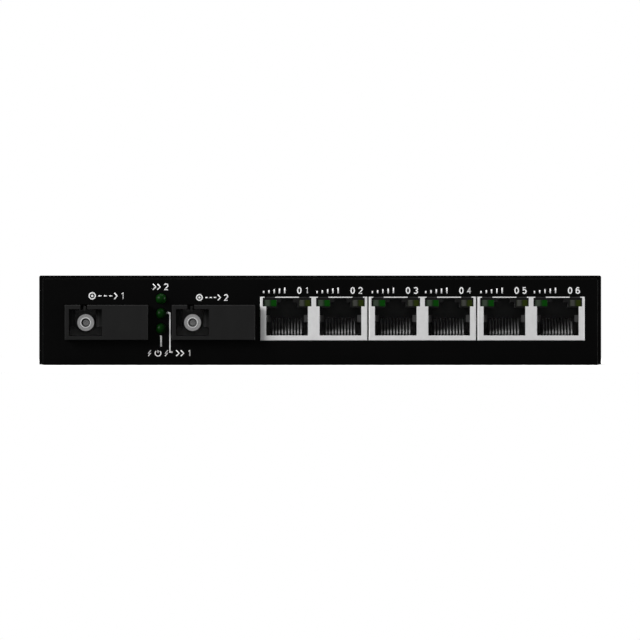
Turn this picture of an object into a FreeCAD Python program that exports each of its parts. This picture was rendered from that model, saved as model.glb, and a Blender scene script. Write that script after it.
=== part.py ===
"""Desktop fibre switch in a folded steel case: two single-fibre SC ports, six copper ports in three twin
jacks and three status lights at the front, a barrel power inlet and an earth screw at the back.

+X is to the right seen from the front, +Y runs from the front to the back and +Z is up. The origin is
the middle of the underside. All sizes are in millimetres. Each node is written to parts/NODE.step."""

import FreeCAD
import Part

import math
import os

Vector = FreeCAD.Vector
RIGHT, BACKWARD, UP = Vector(1, 0, 0), Vector(0, 1, 0), Vector(0, 0, 1)
LEFT, FORWARD, DOWN = Vector(-1, 0, 0), Vector(0, -1, 0), Vector(0, 0, -1)

# Case: a chassis folded from one sheet (bottom, front, back) under a U-shaped cover (top, two sides)
CASE_WIDTH = 160.0
CASE_DEPTH = 100.0
CASE_HEIGHT = 25.4
SHEET = 0.8
SIDE_GAP = 0.05  # between the cover's side and the chassis's flange
TOP_GAP = 0.05
COVER_LIFT = 0.1  # the cover's sides stop this far above the table
COVER_SETBACK = 0.4  # and its edges this far behind the front and back panels' faces
BEND = 0.4  # outer radius of the chassis's bends
COVER_BEND = 0.5
LIP = 6.0  # depth of the front and back panels' returns
FLANGE_HEIGHT = 9.0
RELIEF = 2.0  # gap between a return and the side flange
FRONT, BACK = -CASE_DEPTH / 2, CASE_DEPTH / 2
CHASSIS_HALF = CASE_WIDTH / 2 - SHEET - SIDE_GAP
PANEL_TOP = CASE_HEIGHT - SHEET - TOP_GAP

# Side screws, vents and the keyholes in the bottom
SIDE_SCREW_Y = (-35.0, 35.0)
SIDE_SCREW_Z = 3.7
SIDE_VENT_COUNT, SIDE_VENT_PITCH = 9, 5.6
SIDE_VENT_Z = (11.0, 20.5)
BACK_VENT_COUNT, BACK_VENT_PITCH = 12, 4.4
BACK_VENT_Z = (8.6, 16.4)
VENT_WIDTH = 1.8
KEYHOLE_X, KEYHOLE_Y = 45.0, 4.0
KEYHOLE_RADIUS, KEYHOLE_SLOT_RADIUS, KEYHOLE_SLOT = 3.5, 1.8, 7.0

# Main board on four pressed-in standoffs
BOARD_BOTTOM, BOARD_THICKNESS = 5.2, 1.6
BOARD_TOP = BOARD_BOTTOM + BOARD_THICKNESS
BOARD_HALF = 77.0
BOARD_FRONT, BOARD_BACK = FRONT + 1.5, BACK - 2.5
STANDOFFS = [(x, y) for x in (-71.0, 71.0) for y in (-8.0, 38.0)]
PIN_END = 4.0  # height of every solder pin's end

# Fibre modules: a wide nose with one SC socket at its left
NOSE_PROUD = 3.0
MODULE_LEFT = (-72.65, -42.2)
MODULE_WIDTH, MODULE_LENGTH, MODULE_HEIGHT = 23.64, 40.0, 10.0
MODULE_BOTTOM = 7.0
MODULE_FRONT = FRONT - NOSE_PROUD
MODULE_WALL = 1.15
SOCKET_WIDTH, SOCKET_HEIGHT, SOCKET_DEPTH = 9.42, 7.64, 12.5
SOCKET_X = 5.84  # the ferrule's axis, from the nose's left edge
SOCKET_Z = 5.0  # and from its bottom
KEY_WIDTH, KEY_OFFSET, KEY_END = 2.0, -0.5, 11.0  # the key slot's width, place across and depth
KEY_FIN = (-0.65, 0.0)  # the latch clip's fin in it, across from the ferrule's axis
FERRULE_RADIUS = 1.25
BARREL_RADIUS, BARREL_FACE = 2.5, 5.5
FLANGE_RADIUS, FLANGE_THICKNESS = 3.4, 1.2
LIP_RADIUS, LIP_BORE, LIP_FACE = 1.48, 1.25, 4.4
SLEEVE_RADIUS, SLEEVE_START, SLEEVE_LENGTH = 1.6, 5.7, 4.8
BARREL_BORE = 1.63
WEB = 1.0  # wall behind the socket
ARM_REACH = 4.7  # depth of the latch arms' tips
ARM_Z = (3.8, 8.7)

# Status lights
LIGHT_X = -45.3
LIGHT_Z = (18.8, 14.55, 10.3)
LIGHT_RADIUS = 1.5
LIGHT_PROUD = 1.6

# Twin jacks
JACK_FIRST_X, JACK_PITCH, JACK_COUNT = -1.83, 30.94, 3
JACK_WIDTH, JACK_LENGTH = 30.5, 19.5
JACK_Z = (6.88, 19.35)
JACK_PROUD = 0.3
JACK_FRONT = FRONT - JACK_PROUD
JACK_SKIN, JACK_BEND = 0.25, 0.2
PORT_OFFSET = 7.6  # each port's centre, from the jack's
PORT_HALF = 5.94
PORT_Z = (8.33, 16.29)  # the plug's opening
WINDOW_TOP = 19.06
LATCH_STEPS = ((2.85, 17.77), (1.72, 18.95))  # half width and top of the two steps above it
CAVITY_FLOOR, CAVITY_DEPTH = 7.7, 14.3
LAMP_WINDOW_X = (2.92, 6.93)
LEFT_LAMP_X, RIGHT_LAMP_X = (-6.42, -2.95), (3.45, 6.6)
LAMP_Z, LAMP_LENGTH = (16.6, 18.42), 4.5
SHIELD_NOTCH_X = (3.4, 6.4)
SPRING_Z = (12.19, 14.15)
SPRING_REACH = 1.15

# Contact wires: a hairpin at the front, and an arm that slopes up to the back
WIRE_COUNT, WIRE_PITCH = 10, 0.882
WIRE_WIDTH, WIRE_THICKNESS = 0.34, 0.3
HAIRPIN_DEPTH, HAIRPIN_Z, HAIRPIN_RADIUS = 3.2, 9.0, 0.75
ARM_SLOPE, ARM_TOP = 25.0, 13.1
TAIL_DEPTHS = (15.4, 17.6)

# Power inlet and earth screw
INLET_X, INLET_Z = 55.0, 13.3
INLET_WIDTH, INLET_HEIGHT, INLET_LENGTH = 9.0, 11.0, 13.1
INLET_NOSE_RADIUS, INLET_NOSE_PROUD = 3.9, 0.6
INLET_BORE_RADIUS, INLET_BORE_DEPTH = 3.2, 9.6
INLET_PIN_RADIUS, INLET_ROOT_RADIUS = 1.0, 1.25
LEAF_HINGE = (39.5, 9.0)  # y and z of the leaf contact's root
EARTH_X, EARTH_Z = -60.0, 13.0


def box(x0, x1, y0, y1, z0, z1):
    """A block between two corners."""
    return Part.makeBox(x1 - x0, y1 - y0, z1 - z0, Vector(x0, y0, z0))


def rod(x, y, z, radius, length, direction):
    """A cylinder that starts at a point."""
    return Part.makeCylinder(radius, length, Vector(x, y, z), direction)


def prism(points, along):
    """A polygon's corners, extruded."""
    return Part.Face(Part.makePolygon(points + points[:1])).extrude(along)


def side_prism(yz, x0, x1):
    """A side-view outline, extruded across the object."""
    return prism([Vector(x0, y, z) for y, z in yz], Vector(x1 - x0, 0, 0))


def turned(points):
    """A half outline (radius, height), turned about +Z."""
    wire = Part.makePolygon([Vector(r, 0, h) for r, h in points + points[:1]])
    return Part.Face(wire).revolve(Vector(0, 0, 0), UP, 360)


def placed(shape, position, direction):
    """A copy of a shape made along +Z, pointing along direction at position."""
    moved = shape.copy()
    moved.Placement = FreeCAD.Placement(position, FreeCAD.Rotation(UP, direction))
    return moved


def join(shapes):
    """One solid from shapes that meet."""
    return shapes[0].multiFuse(shapes[1:]).removeSplitter()


def slot(x, y, z, half_width, length, direction, depth, normal):
    """A cutter for a round-ended slot that starts at a point, runs along direction and cuts along normal."""
    across = normal.cross(direction)
    start, end = Vector(x, y, z), Vector(x, y, z) + direction * length
    corners = [start + across * half_width, end + across * half_width]
    corners += [end - across * half_width, start - across * half_width]
    ends = [Part.makeCylinder(half_width, depth, p, normal) for p in (start, end)]
    return join([prism(corners, normal * depth)] + ends)


def write(name, *shapes):
    """One node: its separate solids in one STEP file."""
    solids = [solid for shape in shapes for solid in shape.Solids]
    node = solids[0] if len(solids) == 1 else Part.makeCompound(solids)
    node.exportStep(f"parts/{name}.step")


# ---- Fasteners, made along +Z with the head's underside at 0 ----


def cross_recess(size, depth, top):
    """The cutter for a screw's driving cross."""
    arms = [(size, size * 0.22), (size * 0.22, size)]
    return join([box(-x / 2, x / 2, -y / 2, y / 2, top - depth, top + 1) for x, y in arms])


def pan_screw(radius, head_radius, head_height, length):
    """A pan-head machine screw with a cross recess."""
    shoulder = head_height * 0.55
    crown = head_radius * 0.72
    head = turned([(0, 0), (head_radius, 0), (head_radius, shoulder), (crown, head_height), (0, head_height)])
    shank = rod(0, 0, 0, radius, length, DOWN)
    return join([head, shank]).cut(cross_recess(head_radius * 1.05, head_height * 0.6, head_height))


def countersunk_screw(radius, head_radius, dome, length):
    """A raised countersunk screw, with the head's rim at 0."""
    cone = head_radius - radius
    crown = head_radius * 0.7
    half = [(0, -length), (radius, -length), (radius, -cone), (head_radius, 0), (crown, dome), (0, dome)]
    return turned(half).cut(cross_recess(head_radius * 1.05, 1.0, dome))


# ---- Case ----

SCREW_RADIUS = 1.45
SCREW_HEAD_RADIUS, SCREW_DOME, SCREW_LENGTH = 2.75, 0.1, 4.4
COUNTERSINK_RADIUS = 2.9


def cover_screws():
    """Four countersunk screws through the cover's sides into the chassis's flanges."""
    one = countersunk_screw(SCREW_RADIUS, SCREW_HEAD_RADIUS, SCREW_DOME, SCREW_LENGTH)
    half = CASE_WIDTH / 2
    return [
        placed(one, Vector(side * half, y, SIDE_SCREW_Z), RIGHT * side)
        for side in (-1, 1)
        for y in SIDE_SCREW_Y
    ]


def screw_seats():
    """Cutters for the countersinks, through the cover and the flange behind it."""
    half = CASE_WIDTH / 2
    deep = COUNTERSINK_RADIUS - SCREW_RADIUS - 0.05
    seats = []
    for side in (-1, 1):
        for y in SIDE_SCREW_Y:
            start = Vector(side * (half + 0.01), y, SIDE_SCREW_Z)
            seats.append(Part.makeCone(COUNTERSINK_RADIUS, SCREW_RADIUS + 0.05, deep, start, RIGHT * -side))
            seats.append(Part.makeCylinder(SCREW_RADIUS + 0.05, 3.0, start, RIGHT * -side))
    return seats


def side_vents():
    """Cutters for the upright slots in both sides of the cover."""
    low, high = SIDE_VENT_Z
    half = VENT_WIDTH / 2
    first = -(SIDE_VENT_COUNT - 1) / 2 * SIDE_VENT_PITCH
    places = [first + i * SIDE_VENT_PITCH for i in range(SIDE_VENT_COUNT)]
    across = CASE_WIDTH + 2
    return [slot(-across / 2, y, low + half, half, high - low - 2 * half, UP, across, RIGHT) for y in places]


def top_cover():
    """The U-shaped cover: top and two sides, screwed on from the sides."""
    half = CASE_WIDTH / 2
    outer = box(-half, half, FRONT + COVER_SETBACK, BACK - COVER_SETBACK, COVER_LIFT, CASE_HEIGHT)
    top_edges = [
        e for e in outer.Edges
        if e.CenterOfMass.z > CASE_HEIGHT - 0.01 and abs(e.CenterOfMass.x) > half - 0.01
    ]
    outer = outer.makeFillet(COVER_BEND, top_edges)
    hollow = box(-half + SHEET, half - SHEET, FRONT - 1, BACK + 1, COVER_LIFT - 1, CASE_HEIGHT - SHEET)
    return outer.cut([hollow] + side_vents() + screw_seats())


def front_openings():
    """Cutters for the fibre noses, the lights and the row of jacks."""
    play = 0.15
    behind = FRONT + SHEET + 0.1
    cutters = [
        box(
            left - play, left + MODULE_WIDTH + play, FRONT - 1, behind,
            MODULE_BOTTOM - play, MODULE_BOTTOM + MODULE_HEIGHT + play,
        )
        for left in MODULE_LEFT
    ]
    cutters += [rod(LIGHT_X, FRONT - 1, z, LIGHT_RADIUS + play, 2.2, BACKWARD) for z in LIGHT_Z]
    left = JACK_FIRST_X - JACK_WIDTH / 2 - play
    right = JACK_FIRST_X + (JACK_COUNT - 1) * JACK_PITCH + JACK_WIDTH / 2 + play
    cutters.append(box(left, right, FRONT - 1, behind, JACK_Z[0] - play, JACK_Z[1] + play))
    return cutters


def back_openings():
    """Cutters for the inlet, the earth screw and the back vents."""
    inside = BACK - SHEET - 0.1
    low, high = BACK_VENT_Z
    half = VENT_WIDTH / 2
    first = -(BACK_VENT_COUNT - 1) / 2 * BACK_VENT_PITCH
    cutters = [
        slot(first + i * BACK_VENT_PITCH, inside, low + half, half, high - low - 2 * half, UP, 2, BACKWARD)
        for i in range(BACK_VENT_COUNT)
    ]
    cutters.append(rod(INLET_X, inside, INLET_Z, INLET_NOSE_RADIUS + 0.2, 2, BACKWARD))
    cutters.append(rod(EARTH_X, inside, EARTH_Z, EARTH_HOLE_RADIUS, 2, BACKWARD))
    return cutters


def bottom_openings():
    """Cutters for the wall-mount keyholes and the standoffs' seats."""
    cutters = []
    for side in (-1, 1):
        x = side * KEYHOLE_X
        cutters.append(rod(x, KEYHOLE_Y, -1, KEYHOLE_RADIUS, 3, UP))
        cutters.append(slot(x, KEYHOLE_Y, -1, KEYHOLE_SLOT_RADIUS, KEYHOLE_SLOT, BACKWARD, 3, UP))
    return cutters + [rod(x, y, -1, STANDOFF_SEAT_RADIUS + 0.03, 3, UP) for x, y in STANDOFFS]


def base_chassis():
    """Bottom, front and back in one folded sheet, with side flanges and returns at the panels' edges."""
    half = CHASSIS_HALF
    outer = box(-half, half, FRONT, BACK, 0, PANEL_TOP)
    outer = outer.makeFillet(BEND, outer.Edges)
    inner = box(-half + SHEET, half - SHEET, FRONT + SHEET, BACK - SHEET, SHEET, PANEL_TOP - SHEET)
    lip_front, lip_back = FRONT + LIP, BACK - LIP
    wide = half + 1
    cutters = [
        inner,
        box(-wide, wide, lip_front, lip_back, FLANGE_HEIGHT, PANEL_TOP + 1),
        box(-wide, wide, lip_front, lip_front + RELIEF, SHEET, PANEL_TOP + 1),
        box(-wide, wide, lip_back - RELIEF, lip_back, SHEET, PANEL_TOP + 1),
    ]
    corner = 1.6  # relief where a lip's end meets a side return
    for side in (-1, 1):
        near, far = sorted((side * (half - corner), side * wide))
        cutters.append(box(near, far, FRONT + SHEET + 0.4, lip_front, PANEL_TOP - corner, PANEL_TOP + 1))
        cutters.append(box(near, far, lip_back, BACK - SHEET - 0.4, PANEL_TOP - corner, PANEL_TOP + 1))
    cutters += front_openings() + back_openings() + bottom_openings() + screw_seats()
    return outer.cut(cutters)


# ---- Main board and its fixings ----

STANDOFF_ACROSS_FLATS = 5.0
STANDOFF_SEAT_RADIUS, SEAT_RECESS = 2.1, 0.05
BOARD_SCREW_RADIUS = 1.45
THREAD_PLAY = 0.05


def hexagon(across_flats, height):
    """A hexagonal bar, standing on the origin."""
    radius = across_flats / math.sqrt(3)
    angles = [math.pi / 3 * k for k in range(6)]
    corners = [Vector(radius * math.cos(a), radius * math.sin(a), 0) for a in angles]
    return prism(corners, Vector(0, 0, height))


def standoffs():
    """Hexagonal standoffs pressed into the bottom, with a blind threaded hole."""
    made = []
    for x, y in STANDOFFS:
        bar = hexagon(STANDOFF_ACROSS_FLATS, BOARD_BOTTOM - SHEET)
        bar.translate(Vector(x, y, SHEET))
        seat = rod(x, y, SEAT_RECESS, STANDOFF_SEAT_RADIUS, SHEET - SEAT_RECESS, UP)
        hole = rod(x, y, 1.2, BOARD_SCREW_RADIUS + THREAD_PLAY, BOARD_BOTTOM, UP)
        made.append(join([bar, seat]).cut(hole))
    return made


def board_screws():
    """Pan-head screws that hold the board to the standoffs."""
    one = pan_screw(BOARD_SCREW_RADIUS, 2.75, 2.0, 5.0)
    return [placed(one, Vector(x, y, BOARD_TOP), UP) for x, y in STANDOFFS]


def board_holes():
    """Cutters for every through-hole in the main board."""
    deep = BOARD_THICKNESS + 2
    low = BOARD_BOTTOM - 1

    def holes(places, radius):
        return [rod(x, y, low, radius, deep, UP) for x, y in places]

    cutters = holes(STANDOFFS, BOARD_SCREW_RADIUS + 0.15)
    for left in MODULE_LEFT:
        cutters += holes(module_pin_places(left), 0.45)
        cutters += holes(module_post_places(left), 0.75)
    for jack in range(JACK_COUNT):
        cutters += holes(tail_places(jack) + lamp_lead_places(jack), 0.4)
        cutters += holes(shield_tab_places(jack), 0.9)
    cutters += holes([(LIGHT_X + side * LEAD_SPREAD, y) for side in (-1, 1) for y in light_drops()], 0.45)
    cutters += holes(inlet_tab_places(), 1.3)
    return cutters


def main_board():
    """The main circuit board."""
    board = box(-BOARD_HALF, BOARD_HALF, BOARD_FRONT, BOARD_BACK, BOARD_BOTTOM, BOARD_TOP)
    return board.cut(board_holes())


# ---- Fibre modules ----


def module_pin_places(left):
    """Where a module's nine signal pins stand."""
    pitch, count = 2.54, 9
    middle = left + MODULE_WIDTH / 2
    return [(middle + (i - (count - 1) / 2) * pitch, MODULE_FRONT + 36.5) for i in range(count)]


def module_post_places(left):
    """Where a module's two mounting posts stand."""
    return [(left + inset, MODULE_FRONT + 15.4) for inset in (2.2, MODULE_WIDTH - 2.2)]


def socket_axis(left):
    """The x and z of a module's ferrule axis."""
    return left + SOCKET_X, MODULE_BOTTOM + SOCKET_Z


def fibre_housing(left):
    """The moulded nose and body: SC socket at the left, blank at the right, open underneath."""
    x, z = socket_axis(left)
    right, front = left + MODULE_WIDTH, MODULE_FRONT
    back = front + MODULE_LENGTH
    low, high = MODULE_BOTTOM, MODULE_BOTTOM + MODULE_HEIGHT
    half_w, half_h = SOCKET_WIDTH / 2, SOCKET_HEIGHT / 2
    behind_web = front + SOCKET_DEPTH + WEB
    key_x = x + KEY_OFFSET
    block = box(left, right, front, back, low, high)
    face_edges = [e for e in block.Edges if abs(e.CenterOfMass.y - front) < 0.01]
    block = block.makeChamfer(0.15, face_edges)
    return block.cut([
        box(x - half_w, x + half_w, front - 1, front + SOCKET_DEPTH, z - half_h, z + half_h),
        box(key_x - KEY_WIDTH / 2, key_x + KEY_WIDTH / 2, front - 1, front + KEY_END, z, high + 1),
        box(left + 1, right - 1, behind_web, back - 1, low - 1, high - 1),
        box(x + half_w + MODULE_WALL, right - 1, front + 1.5, back - 1, low + 1, high - 1),
        rod(x, front, z, BARREL_RADIUS + 0.03, SOCKET_DEPTH + 5, BACKWARD),
    ])


def fibre_clip(left):
    """The latch clip deep in the socket: a plate round the barrel, two hooked arms and the key slot's fin."""
    x, z = socket_axis(left)
    play, plate = 0.06, 1.0
    half_w, half_h = SOCKET_WIDTH / 2 - play, SOCKET_HEIGHT / 2 - play
    back = MODULE_FRONT + SOCKET_DEPTH
    tip = MODULE_FRONT + ARM_REACH
    low, high = MODULE_BOTTOM + ARM_Z[0], MODULE_BOTTOM + ARM_Z[1]
    arm, hook = 0.75, 1.6
    fin_left, fin_right = x + KEY_FIN[0], x + KEY_FIN[1]
    fin_low, fin_high = z + half_h - 0.5, MODULE_BOTTOM + MODULE_HEIGHT - 0.2
    fin_front, fin_back = MODULE_FRONT + KEY_END - 3, MODULE_FRONT + KEY_END - 0.1
    made = [
        box(x - half_w, x + half_w, back - plate, back, z - half_h, z + half_h),
        box(fin_left, fin_right, fin_front, back, fin_low, z + half_h),
        box(fin_left, fin_right, fin_front, fin_back, fin_low, fin_high),
    ]
    for side in (-1, 1):
        outline = [
            (half_w, back), (half_w - arm, back), (half_w - arm, tip + 2.4),
            (half_w - hook, tip + 1.6), (half_w - hook, tip + 0.5), (half_w - arm, tip), (half_w, tip),
        ]
        corners = [Vector(x + side * offset, y, low) for offset, y in outline]
        made.append(prism(corners, Vector(0, 0, high - low)))
    return join(made).cut(rod(x, back - 3, z, BARREL_RADIUS + 0.03, 4, BACKWARD))


def fibre_barrel(left):
    """The metal barrel that holds the sleeve, with a raised lip in front and a flange behind the web."""
    x, z = socket_axis(left)
    flange = SOCKET_DEPTH + WEB
    edge = 0.03
    outline = [
        (BARREL_BORE, SLEEVE_START - 0.05), (LIP_BORE, SLEEVE_START - 0.05), (LIP_BORE, LIP_FACE + edge),
        (LIP_BORE + edge, LIP_FACE), (LIP_RADIUS - edge, LIP_FACE), (LIP_RADIUS, LIP_FACE + edge),
        (LIP_RADIUS, BARREL_FACE), (BARREL_RADIUS - 0.12, BARREL_FACE), (BARREL_RADIUS, BARREL_FACE + 0.12),
        (BARREL_RADIUS, flange), (FLANGE_RADIUS, flange), (FLANGE_RADIUS, flange + FLANGE_THICKNESS),
        (BARREL_BORE, flange + FLANGE_THICKNESS),
    ]
    return placed(turned(outline), Vector(x, MODULE_FRONT, z), BACKWARD)


def fibre_sleeve(left):
    """The split ceramic sleeve behind the barrel's lip, which lines the mating ferrule up."""
    x, z = socket_axis(left)
    start, end, radius = SLEEVE_START, SLEEVE_START + SLEEVE_LENGTH, SLEEVE_RADIUS
    edge = 0.04
    outline = [
        (FERRULE_RADIUS, start + edge), (FERRULE_RADIUS + edge, start), (radius - edge, start),
        (radius, start + edge), (radius, end), (FERRULE_RADIUS, end),
    ]
    tube = placed(turned(outline), Vector(x, MODULE_FRONT, z), BACKWARD)
    return tube.cut(box(x - 0.2, x + 0.2, MODULE_FRONT + start - 1, MODULE_FRONT + end + 1, z - 2, z))


def fibre_stub(left):
    """The fixed ferrule behind the sleeve, with a rounded end and a collar in the barrel."""
    x, z = socket_axis(left)
    start, end = SLEEVE_START + SLEEVE_LENGTH + 0.1, SOCKET_DEPTH + WEB + FLANGE_THICKNESS
    collar = start + 0.7
    outline = [
        (0, start), (0.9, start), (FERRULE_RADIUS, start + 0.3), (FERRULE_RADIUS, collar),
        (SLEEVE_RADIUS, collar), (SLEEVE_RADIUS, end), (0, end),
    ]
    return placed(turned(outline), Vector(x, MODULE_FRONT, z), BACKWARD)


def fibre_optics(left):
    """The optical block: a cube on the barrel's axis with its laser can behind and its receiver beside it."""
    x, z = socket_axis(left)
    front = MODULE_FRONT + SOCKET_DEPTH + WEB + FLANGE_THICKNESS
    half, can_radius, can_length = 3.3, 2.7, 4.6
    cube = box(x - half, x + half, front, front + 7.4, z - half, z + half)
    laser = rod(x, front + 7.4, z, can_radius, can_length, BACKWARD)
    receiver = rod(x + half, front + 3.7, z, can_radius, can_length, RIGHT)
    return join([cube, laser, receiver])


def fibre_board(left):
    """The module's own small board."""
    low = MODULE_BOTTOM + 0.3
    return box(left + 1.3, left + MODULE_WIDTH - 1.3, MODULE_FRONT + 17.2, MODULE_FRONT + 38.4, low, low + 1.0)


def fibre_pins(left):
    """A module's nine signal pins and two mounting posts."""
    top = MODULE_BOTTOM + 0.3
    pins = [box(x - 0.25, x + 0.25, y - 0.25, y + 0.25, PIN_END, top) for x, y in module_pin_places(left)]
    posts = [rod(x, y, PIN_END, 0.6, top - PIN_END, UP) for x, y in module_post_places(left)]
    return pins + posts


# ---- Status lights ----

LEAD_SPREAD, LEAD = 1.27, 0.45
LIGHT_FLANGE = FRONT + 3.5  # front of the lens's rim
LIGHT_BACK = LIGHT_FLANGE + 1.0
HOLDER_BACK = FRONT + 6.5


def light_drops():
    """The y at which each light's leads turn down, the top light's last."""
    return [HOLDER_BACK + 3.6 - 1.3 * i for i in range(len(LIGHT_Z))]


def status_light(z):
    """A 3 mm light: dome, barrel and rim."""
    base = FRONT - LIGHT_PROUD + LIGHT_RADIUS
    dome = Part.makeSphere(LIGHT_RADIUS, Vector(LIGHT_X, base, z))
    barrel = rod(LIGHT_X, base, z, LIGHT_RADIUS, LIGHT_BACK - base, BACKWARD)
    rim = rod(LIGHT_X, LIGHT_FLANGE, z, 1.9, 1.0, BACKWARD)
    return join([dome, barrel, rim])


def light_leads():
    """Six leads, bent down to the board behind the holder."""
    half = LEAD / 2
    leads = []
    for z, drop in zip(LIGHT_Z, light_drops()):
        for side in (-1, 1):
            x = LIGHT_X + side * LEAD_SPREAD
            along = box(x - half, x + half, LIGHT_BACK, drop + half, z - half, z + half)
            down = box(x - half, x + half, drop - half, drop + half, PIN_END, z + half)
            leads.append(join([along, down]))
    return leads


def light_holder():
    """The block that holds the three lights in line with their holes."""
    low, high = BOARD_TOP, LIGHT_Z[0] + 2.6
    block = box(LIGHT_X - 2.3, LIGHT_X + 2.3, FRONT + SHEET + 0.1, HOLDER_BACK, low, high)
    bores = [rod(LIGHT_X, FRONT, z, LIGHT_RADIUS + 0.05, 8, BACKWARD) for z in LIGHT_Z]
    seats = [rod(LIGHT_X, LIGHT_FLANGE, z, 1.95, 8, BACKWARD) for z in LIGHT_Z]
    return block.cut(bores + seats)


# ---- Twin jacks ----


def jack_x(jack):
    """The centre of a twin jack."""
    return JACK_FIRST_X + jack * JACK_PITCH


def port_xs(jack):
    """The centres of its two ports."""
    return [jack_x(jack) - PORT_OFFSET, jack_x(jack) + PORT_OFFSET]


def wire_xs(port_x):
    """The centre of each contact wire in a port."""
    return [port_x + (i - (WIRE_COUNT - 1) / 2) * WIRE_PITCH for i in range(WIRE_COUNT)]


def tail_places(jack):
    """Where the contacts' tails enter the board, in two staggered rows."""
    return [
        (x, JACK_FRONT + TAIL_DEPTHS[i % 2])
        for port_x in port_xs(jack)
        for i, x in enumerate(wire_xs(port_x))
    ]


def lamp_lead_xs(jack):
    """The x of every lamp lead in a twin jack."""
    return [
        port_x + sum(lamp) / 2 + lead
        for port_x in port_xs(jack)
        for lamp in (LEFT_LAMP_X, RIGHT_LAMP_X)
        for lead in (-LEAD_SPREAD, LEAD_SPREAD)
    ]


LAMP_DROP = 18.4  # depth at which the lamp leads turn down


def lamp_lead_places(jack):
    """Where the lamps' leads enter the board."""
    return [(x, JACK_FRONT + LAMP_DROP) for x in lamp_lead_xs(jack)]


def shield_tab_places(jack):
    """Where the shield's four tabs enter the board."""
    reach = JACK_WIDTH / 2 - JACK_SKIN / 2
    return [(jack_x(jack) + side * reach, JACK_FRONT + depth) for side in (-1, 1) for depth in (6.0, 13.5)]


def port_spring(port_x, side):
    """One of the shield's grounding springs, folded back into a port from the edge of its opening."""
    thick = 0.2
    inner, edge = PORT_HALF - SPRING_REACH, PORT_HALF
    outline = [
        (edge, 0), (inner, 2.8), (edge - 0.35, 5.0), (edge - 0.35 + thick, 5.0),
        (inner + thick, 2.8), (edge + thick, JACK_SKIN), (edge + thick, 0),
    ]
    corners = [Vector(port_x + side * offset, JACK_FRONT + depth, SPRING_Z[0]) for offset, depth in outline]
    return prism(corners, Vector(0, 0, SPRING_Z[1] - SPRING_Z[0]))


def shield_windows(port_x):
    """Cutters through the shield's face: the plug's opening, the two lamps and the notches above them."""
    front, back = JACK_FRONT - 1, JACK_FRONT + JACK_SKIN + 0.1
    top = WINDOW_TOP
    cutters = [box(port_x - PORT_HALF, port_x + PORT_HALF, front, back, PORT_Z[0], top)]
    for side in (-1, 1):
        near, far = sorted(port_x + side * x for x in LAMP_WINDOW_X)
        cutters.append(box(near, far, front, back, LAMP_Z[0], top))
        near, far = sorted(port_x + side * x for x in SHIELD_NOTCH_X)
        cutters.append(box(near, far, front, back + 0.5, top - 0.1, JACK_Z[1] + 1))
    return cutters


def jack_shield(jack):
    """The tinned steel shell of a twin jack, open underneath, with four board tabs and four port springs."""
    x, half = jack_x(jack), JACK_WIDTH / 2
    low, high = JACK_Z
    back = JACK_FRONT + JACK_LENGTH
    shell = box(x - half, x + half, JACK_FRONT, back, low, high)
    face_edges = [e for e in shell.Edges if abs(e.CenterOfMass.y - JACK_FRONT) < 0.01]
    shell = shell.makeFillet(JACK_BEND, face_edges)
    inner = half - JACK_SKIN
    hollow = box(x - inner, x + inner, JACK_FRONT + JACK_SKIN, back - JACK_SKIN, low - 1, high - JACK_SKIN)
    cutters = [hollow] + [window for port_x in port_xs(jack) for window in shield_windows(port_x)]
    tabs = [
        box(tab_x - JACK_SKIN / 2, tab_x + JACK_SKIN / 2, y - 0.65, y + 0.65, PIN_END, low + 0.5)
        for tab_x, y in shield_tab_places(jack)
    ]
    springs = [port_spring(port_x, side) for port_x in port_xs(jack) for side in (-1, 1)]
    return join([shell.cut(cutters)] + tabs + springs)


def jack_housing(jack):
    """The moulded body of a twin jack: two stepped cavities, lamp pockets and channels for pins."""
    x, half = jack_x(jack), JACK_WIDTH / 2 - JACK_SKIN
    front, back = JACK_FRONT + JACK_SKIN, JACK_FRONT + JACK_LENGTH - JACK_SKIN
    low, high = JACK_Z[0], JACK_Z[1] - JACK_SKIN
    deep = JACK_FRONT + CAVITY_DEPTH
    play = 0.02
    cutters = []
    for port_x in port_xs(jack):
        cutters.append(box(port_x - PORT_HALF, port_x + PORT_HALF, front - 1, deep, CAVITY_FLOOR, PORT_Z[1]))
        for step, top in LATCH_STEPS:
            cutters.append(box(port_x - step, port_x + step, front - 1, deep, PORT_Z[1] - 1, top))
        cutters.append(box(port_x - 5.0, port_x + 5.0, deep - 1, back + 1, low - 1, 9.0))
        for side in (-1, 1):
            near, far = sorted(port_x + side * edge for edge in (PORT_HALF - 0.1, PORT_HALF + 0.65))
            cutters.append(box(near, far, front - 1, front + 5.6, SPRING_Z[0] - 0.2, SPRING_Z[1] + 0.2))
        for near, far in (LEFT_LAMP_X, RIGHT_LAMP_X):
            cutters.append(
                box(
                    port_x + near - play, port_x + far + play, front - 1, front + LAMP_LENGTH,
                    LAMP_Z[0] - play, LAMP_Z[1] + play,
                )
            )
    for lead_x in lamp_lead_xs(jack):
        cutters.append(box(lead_x - 0.3, lead_x + 0.3, front + 2, back + 1, LAMP_LEAD_Z - 0.3, LAMP_LEAD_Z + 0.3))
        cutters.append(
            box(lead_x - 0.3, lead_x + 0.3, JACK_FRONT + LAMP_DROP - 0.3, back + 1, low - 1, LAMP_LEAD_Z + 0.3)
        )
    return box(x - half, x + half, front, back, low, high).cut(cutters)


LAMP_LEAD_Z = 17.65


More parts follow.
